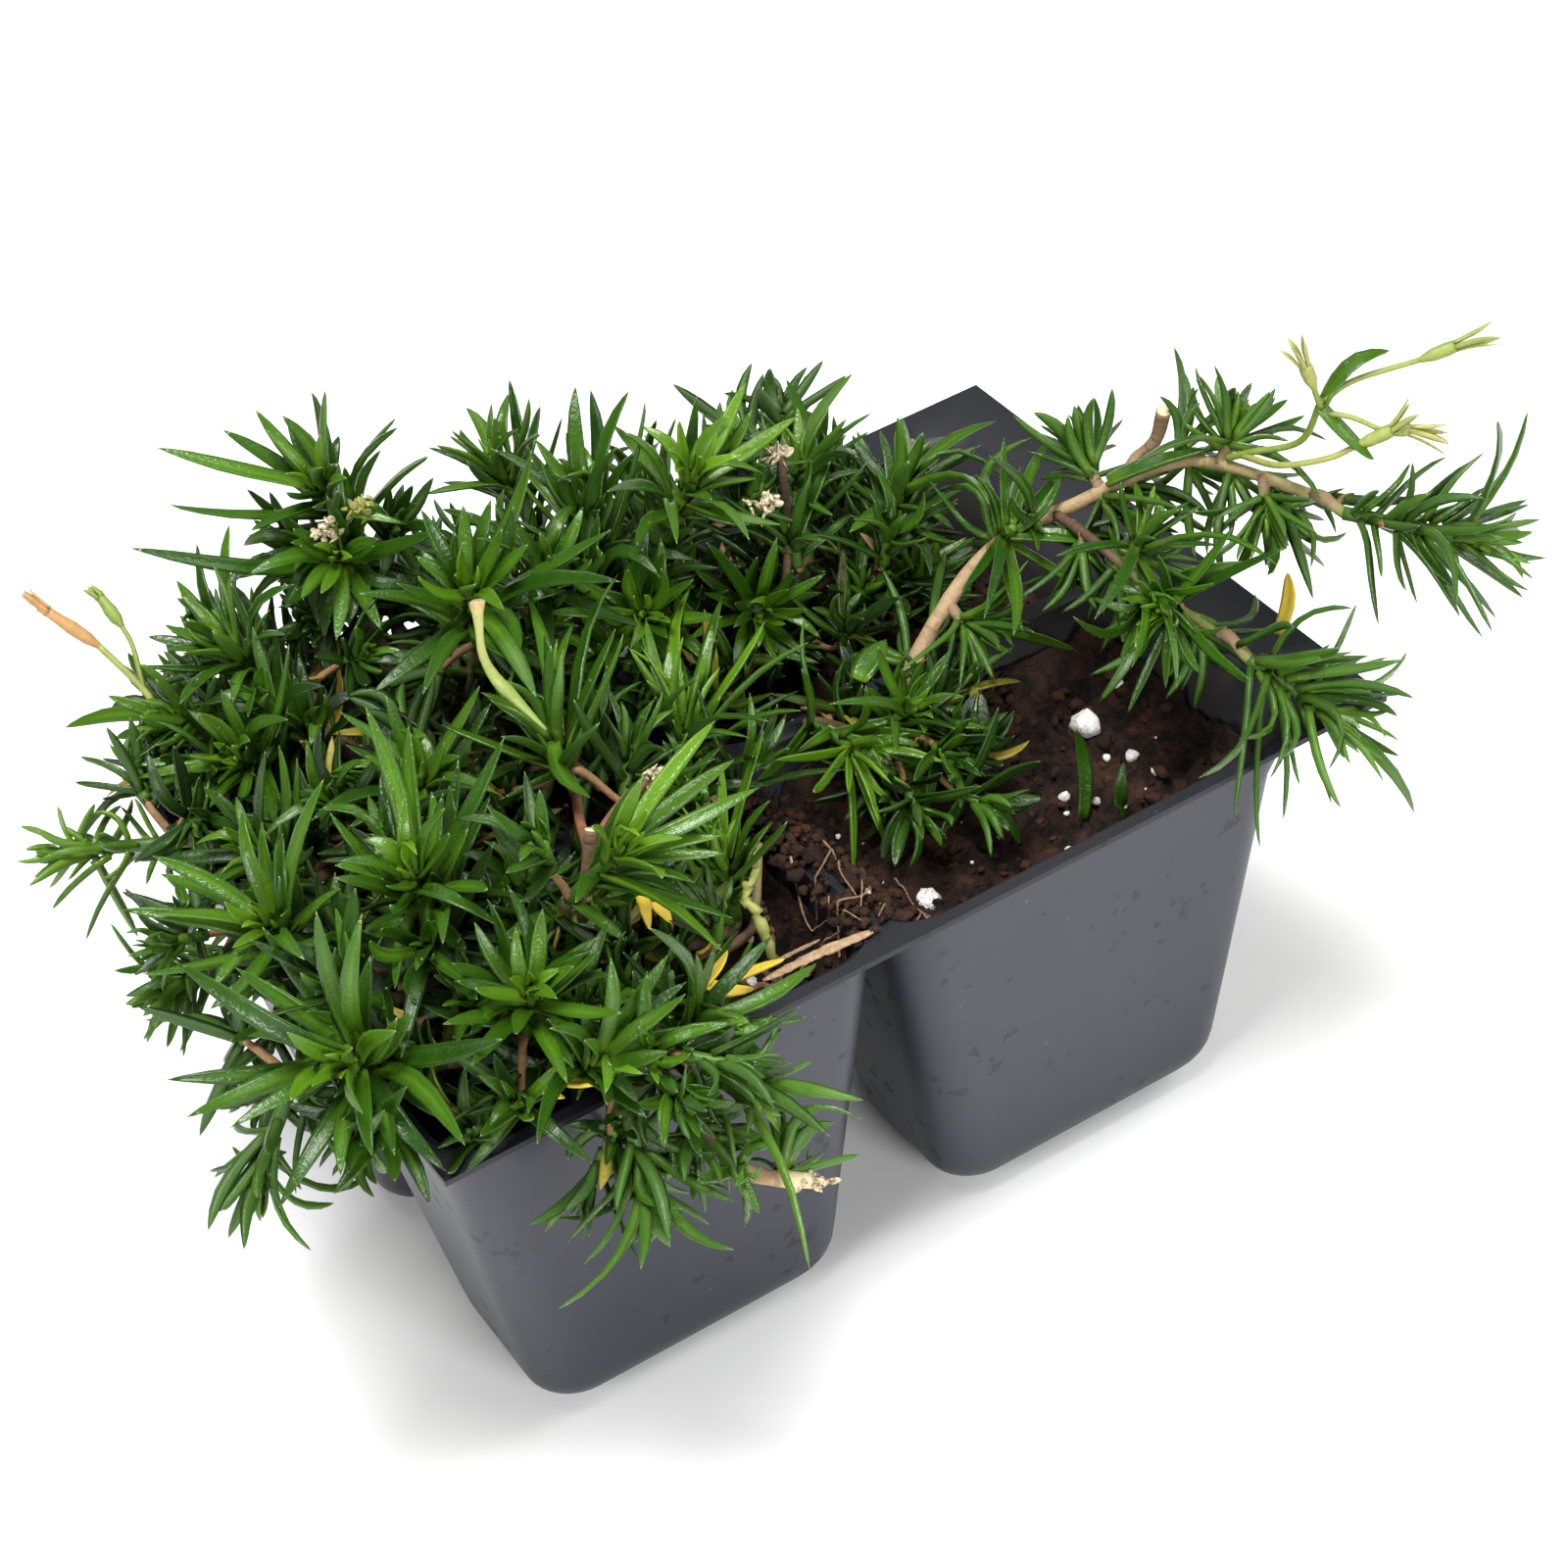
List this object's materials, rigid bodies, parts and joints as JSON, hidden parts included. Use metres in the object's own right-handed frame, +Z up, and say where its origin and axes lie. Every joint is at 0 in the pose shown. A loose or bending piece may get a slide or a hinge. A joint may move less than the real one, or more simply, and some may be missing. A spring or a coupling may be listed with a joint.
{
  "type": "potted creeping phlox",
  "caption": "Young creeping phlox mounds with narrow pointed leaves and a long arching stem, in soil in a black thin-walled multi-cell nursery pack.",
  "frame": {"origin": "under the middle of the whole box, at ground level", "axes": "+X along the pack's long front edge to the right, +Y towards its back, +Z up"},
  "size_m": [0.1796, 0.138, 0.1055],
  "materials": {
    "pack_plastic": "thin formed sheet, half gloss",
    "soil_peat": "crumbly peat with white grains",
    "stem_wood": "matt bark",
    "leaf_green": "glossy living leaf"
  },
  "bodies": {
    "root": {"cell_pack": "pack_plastic", "soil_front_left": "soil_peat", "soil_back_left": "soil_peat", "soil_back_right": "soil_peat", "soil_front_right": "soil_peat", "woody_stems_front_left": "stem_wood", "woody_stems_back_left": "stem_wood", "woody_stems_back_right": "stem_wood", "woody_stems_front_right": "stem_wood", "flower_stalks_right": "leaf_green", "flower_stalks_left": "leaf_green", "shoot_front_left_1": "leaf_green", "shoot_front_left_2": "leaf_green", "shoot_front_left_3": "leaf_green", "shoot_front_left_4": "leaf_green", "shoot_front_left_5": "leaf_green", "shoot_front_left_6": "leaf_green", "shoot_front_left_7": "leaf_green", "shoot_front_left_8": "leaf_green", "shoot_front_left_9": "leaf_green", "shoot_front_left_10": "leaf_green", "shoot_front_left_11": "leaf_green", "shoot_front_left_12": "leaf_green", "shoot_front_left_13": "leaf_green", "shoot_front_left_14": "leaf_green", "shoot_back_left_1": "leaf_green", "shoot_back_left_2": "leaf_green", "shoot_back_left_3": "leaf_green", "shoot_back_left_4": "leaf_green", "shoot_back_left_5": "leaf_green", "shoot_back_left_6": "leaf_green", "shoot_back_left_7": "leaf_green", "shoot_back_left_8": "leaf_green", "shoot_back_left_9": "leaf_green", "shoot_back_left_10": "leaf_green", "shoot_back_left_11": "leaf_green", "shoot_back_left_12": "leaf_green", "shoot_back_left_13": "leaf_green", "shoot_back_right_1": "leaf_green", "shoot_back_right_2": "leaf_green", "shoot_back_right_3": "leaf_green", "shoot_back_right_4": "leaf_green", "shoot_back_right_5": "leaf_green", "shoot_back_right_6": "leaf_green", "shoot_back_right_7": "leaf_green", "shoot_back_right_8": "leaf_green", "shoot_back_right_9": "leaf_green", "shoot_front_right_1": "leaf_green", "shoot_front_right_2": "leaf_green", "shoot_front_right_3": "leaf_green", "shoot_front_right_4": "leaf_green", "shoot_front_right_5": "leaf_green", "shoot_front_right_6": "leaf_green", "shoot_front_right_7": "leaf_green", "shoot_front_right_8": "leaf_green", "shoot_front_right_9": "leaf_green", "shoot_front_right_10": "leaf_green", "shoot_front_right_11": "leaf_green"}
  },
  "joints": []
}
